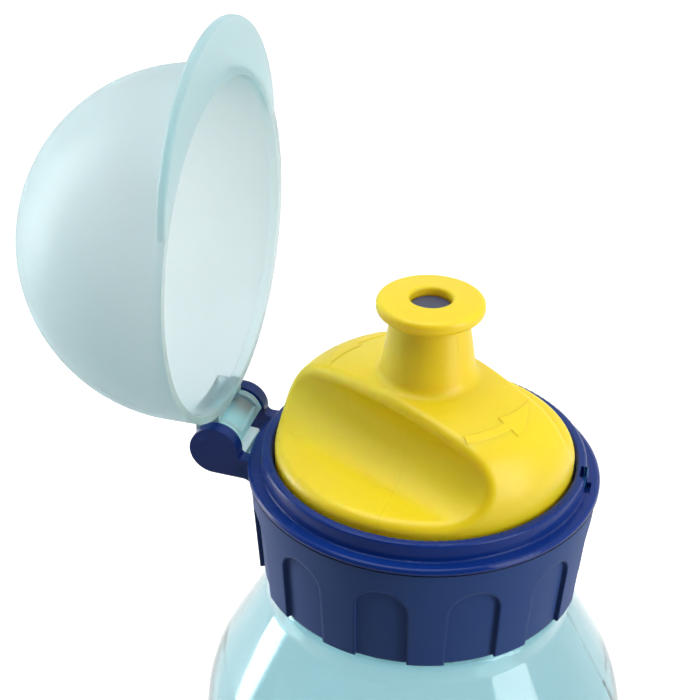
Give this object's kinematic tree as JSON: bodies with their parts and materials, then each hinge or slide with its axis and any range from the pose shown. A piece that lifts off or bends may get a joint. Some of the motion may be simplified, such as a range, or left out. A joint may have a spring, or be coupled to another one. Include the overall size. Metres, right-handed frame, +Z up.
{
  "type": "squeeze bottle",
  "caption": "Squeeze bottle with a fluted screw collar, a twist-to-open spout with finger scoops and a hinged clear dome lid.",
  "frame": {"origin": "centre of the ring that the bottle stands on", "axes": "+Z up along the bottle's axis; the lid's hinge is on -X, its thumb tab's side is +X"},
  "size_m": [0.1022, 0.0734, 0.2219],
  "materials": {
    "clear_body": "clear glossy, aqua tint",
    "silicone": "matte translucent silicone",
    "blue_collar": "fine matte with glossy lip",
    "grey_core": "satin",
    "yellow_mouthpiece": "satin",
    "frosted_lid": "frosted translucent"
  },
  "bodies": {
    "bottle": {"bottle_body": "clear_body"},
    "gasket": {"neck_gasket": "silicone"},
    "cap": {"screw_collar": "blue_collar", "valve_core": "grey_core"},
    "stem_seal": {"stem_oring": "silicone"},
    "mouthpiece": {"mouthpiece": "yellow_mouthpiece"},
    "lid": {"lid": "frosted_lid"}
  },
  "joints": [
    {"name": "collar_lift", "type": "slide", "parent": "bottle", "child": "gasket", "axis": [0, 0, 1], "range_m": [0, 0.0048]},
    {"name": "collar_twist", "type": "hinge", "parent": "gasket", "child": "cap", "pos_m": [0, 0, 0.14], "axis": [0, 0, 1], "range_deg": [0, 450]},
    {"name": "mouthpiece_twist", "type": "hinge", "parent": "cap", "child": "stem_seal", "pos_m": [0, 0, 0.16], "axis": [0, 0, 1], "range_deg": [0, 90]},
    {"name": "mouthpiece_lift", "type": "slide", "parent": "stem_seal", "child": "mouthpiece", "axis": [0, 0, 1], "range_m": [0, 0.00071]},
    {"name": "lid_hinge", "type": "hinge", "parent": "cap", "child": "lid", "pos_m": [-0.0332, 0, 0.1527], "axis": [0, -1, 0], "range_deg": [-90, 0]}
  ],
  "couplings": [
    {"joint": "collar_lift", "follows": "collar_twist", "m_per_rad": 0.00060479},
    {"joint": "mouthpiece_lift", "follows": "mouthpiece_twist", "m_per_rad": 0.00044563}
  ]
}
